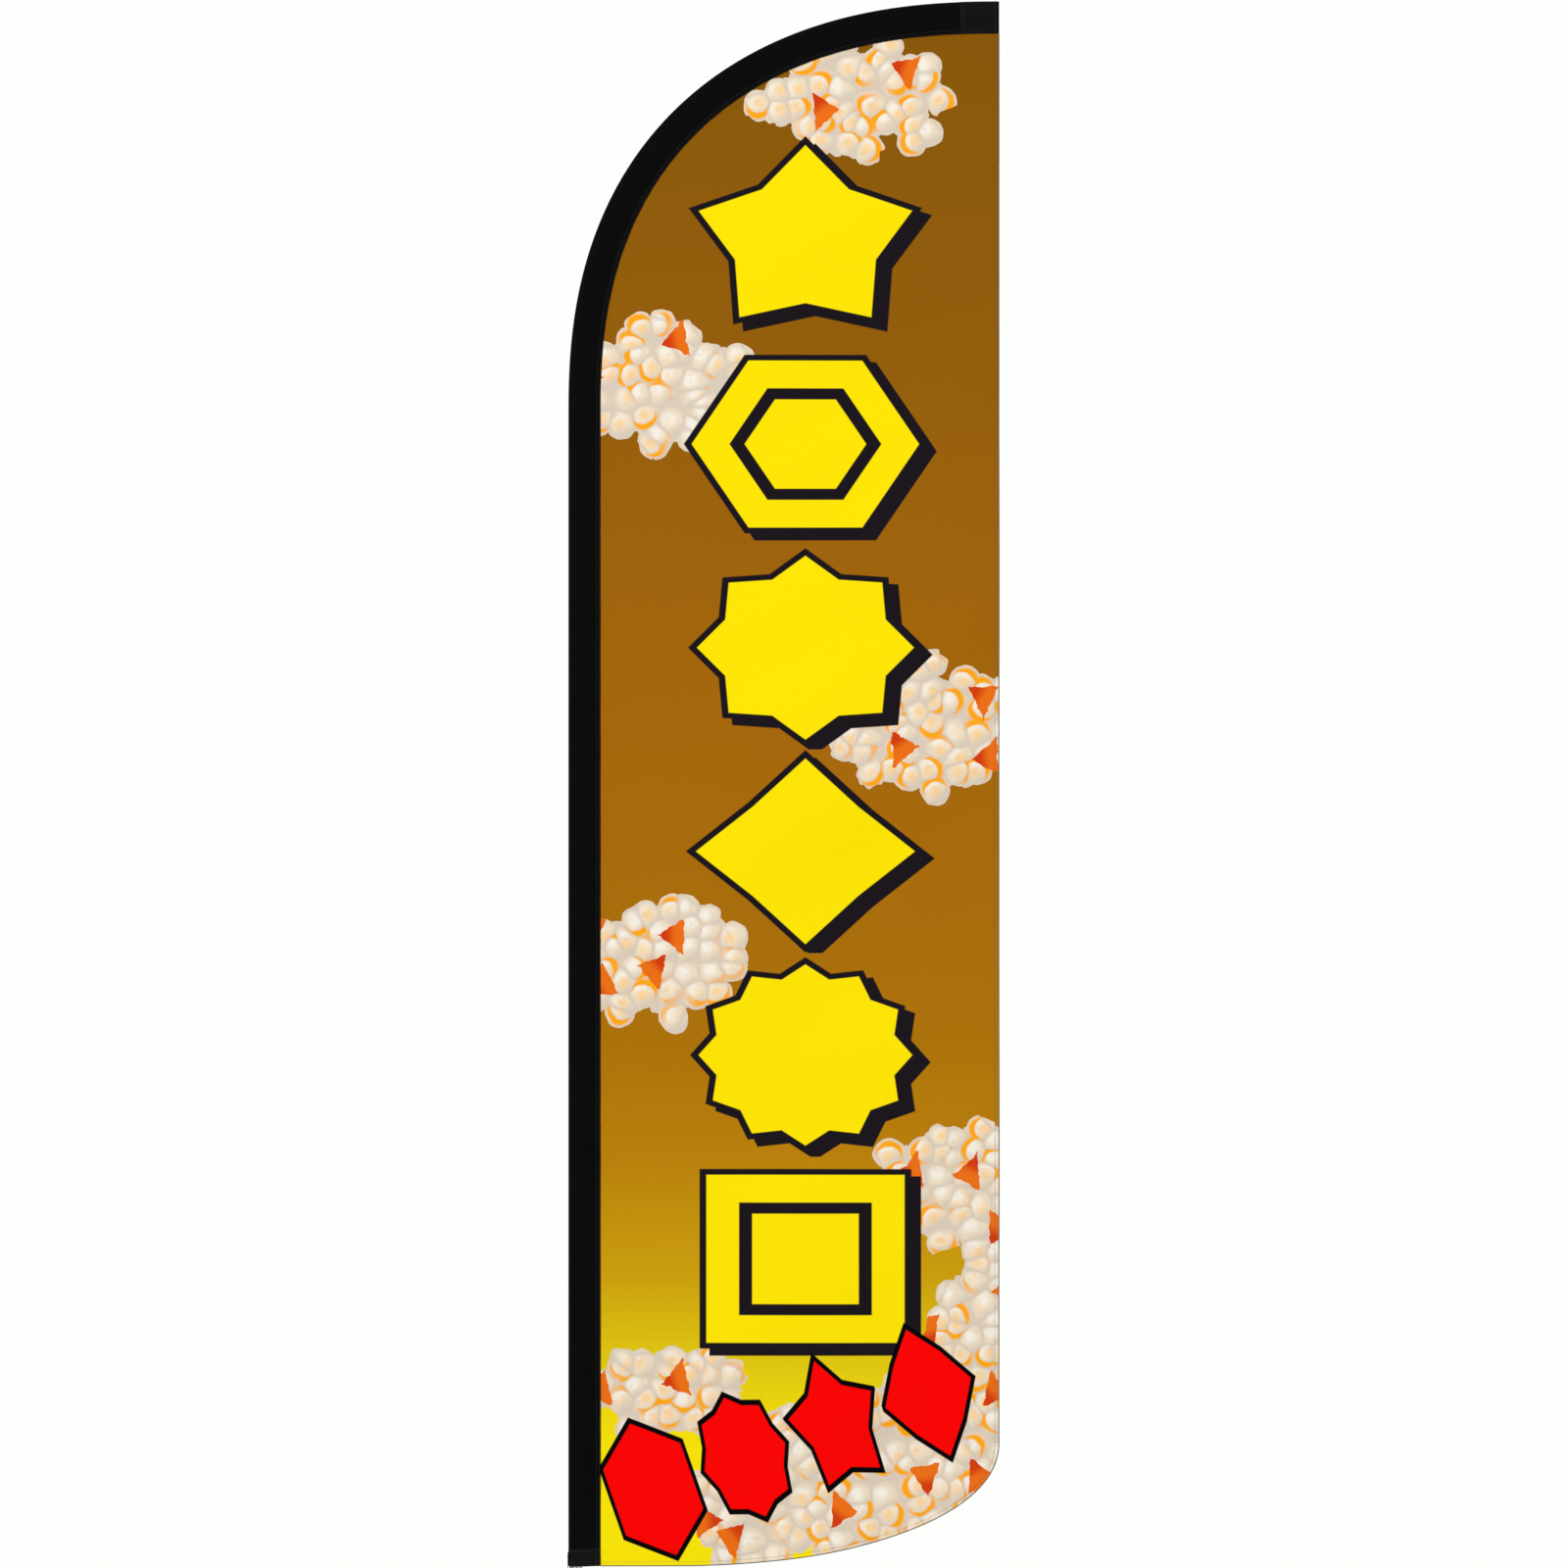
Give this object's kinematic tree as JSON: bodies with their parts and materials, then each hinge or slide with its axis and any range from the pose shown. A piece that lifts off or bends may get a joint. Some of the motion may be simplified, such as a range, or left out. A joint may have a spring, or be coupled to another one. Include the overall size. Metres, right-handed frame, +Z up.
{
  "type": "feather flag with pole",
  "caption": "Tall bowed feather flag sleeved on a sectional pole, turning on a ball-bearing spindle over a ground stake.",
  "frame": {"origin": "on the pole's axis at ground level, at the underside of the foot plate", "axes": "+Z up along the pole, +X from the pole towards the flag's fly edge, Y square to the flag"},
  "size_m": [1.013, 0.05, 4.475],
  "materials": {
    "zinc_steel": "zinc plated",
    "bearing_steel": "ground and polished",
    "anodised_aluminium": "satin anodised",
    "black_fibreglass": "satin, fine lengthwise fibres",
    "black_nylon": "moulded, matt",
    "black_rubber": "matt",
    "brass": "rolled, bright",
    "sleeve_cloth": "black knitted polyester",
    "printed_cloth": "printed knitted polyester, brown to yellow from top to bottom",
    "hem_cloth": "turned hem, overlocked",
    "black_elastic": "ribbed elastic webbing"
  },
  "bodies": {
    "ground_stake": {"stake_blade": "zinc_steel", "foot_plate": "zinc_steel", "stake_collar": "zinc_steel", "axle": "zinc_steel", "lower_inner_race": "bearing_steel", "upper_inner_race": "bearing_steel", "bearing_spacer": "anodised_aluminium", "axle_washer": "zinc_steel", "axle_nut": "zinc_steel"},
    "lower_cage": {"lower_ball_cage": "bearing_steel"},
    "upper_cage": {"upper_ball_cage": "bearing_steel"},
    "turning_spindle": {"spindle": "zinc_steel", "spindle_plug": "black_nylon", "dust_seal": "black_rubber", "lower_outer_race": "bearing_steel", "upper_outer_race": "bearing_steel", "pole_cushion": "black_rubber", "lower_grip_ring": "black_rubber", "upper_grip_ring": "black_rubber"},
    "lower_pole": {"pole_section_1": "anodised_aluminium", "pole_foot_ring": "black_nylon"},
    "upper_pole_and_flag": {"pole_section_2": "anodised_aluminium", "pole_section_3": "anodised_aluminium", "pole_section_4": "black_fibreglass", "pole_section_5": "black_fibreglass", "rod_bush": "black_nylon", "rod_ferrule": "zinc_steel", "tip_cap": "black_nylon", "sleeve": "sleeve_cloth", "sleeve_cuff": "sleeve_cloth", "tip_pocket": "sleeve_cloth", "flag_panel": "printed_cloth", "fly_hem": "hem_cloth", "foot_hem": "hem_cloth", "tension_strap": "black_elastic"},
    "strap_clip": {"pole_clip": "black_nylon", "strap_eyelet": "brass"}
  },
  "joints": [
    {"name": "flag_swivel", "type": "hinge", "parent": "ground_stake", "child": "turning_spindle", "pos_m": [0, 0, 0.12], "axis": [0, 0, 1], "continuous": true},
    {"name": "lower_cage_spin", "type": "hinge", "parent": "ground_stake", "child": "lower_cage", "pos_m": [0, 0, 0.0319], "axis": [0, 0, 1], "continuous": true},
    {"name": "upper_cage_spin", "type": "hinge", "parent": "ground_stake", "child": "upper_cage", "pos_m": [0, 0, 0.2085], "axis": [0, 0, 1], "continuous": true},
    {"name": "pole_lift", "type": "slide", "parent": "turning_spindle", "child": "lower_pole", "axis": [0, 0, 1], "range_m": [0, 0.24]},
    {"name": "section_pull", "type": "slide", "parent": "lower_pole", "child": "upper_pole_and_flag", "axis": [0, 0, 1], "range_m": [0, 0.12]},
    {"name": "clip_slide", "type": "slide", "parent": "upper_pole_and_flag", "child": "strap_clip", "axis": [0, 0, -1], "range_m": [0, 0.06], "deforming": ["tension_strap"]}
  ],
  "couplings": [
    {"joint": "lower_cage_spin", "follows": "flag_swivel", "ratio": 0.5811},
    {"joint": "upper_cage_spin", "follows": "flag_swivel", "ratio": 0.5811}
  ]
}
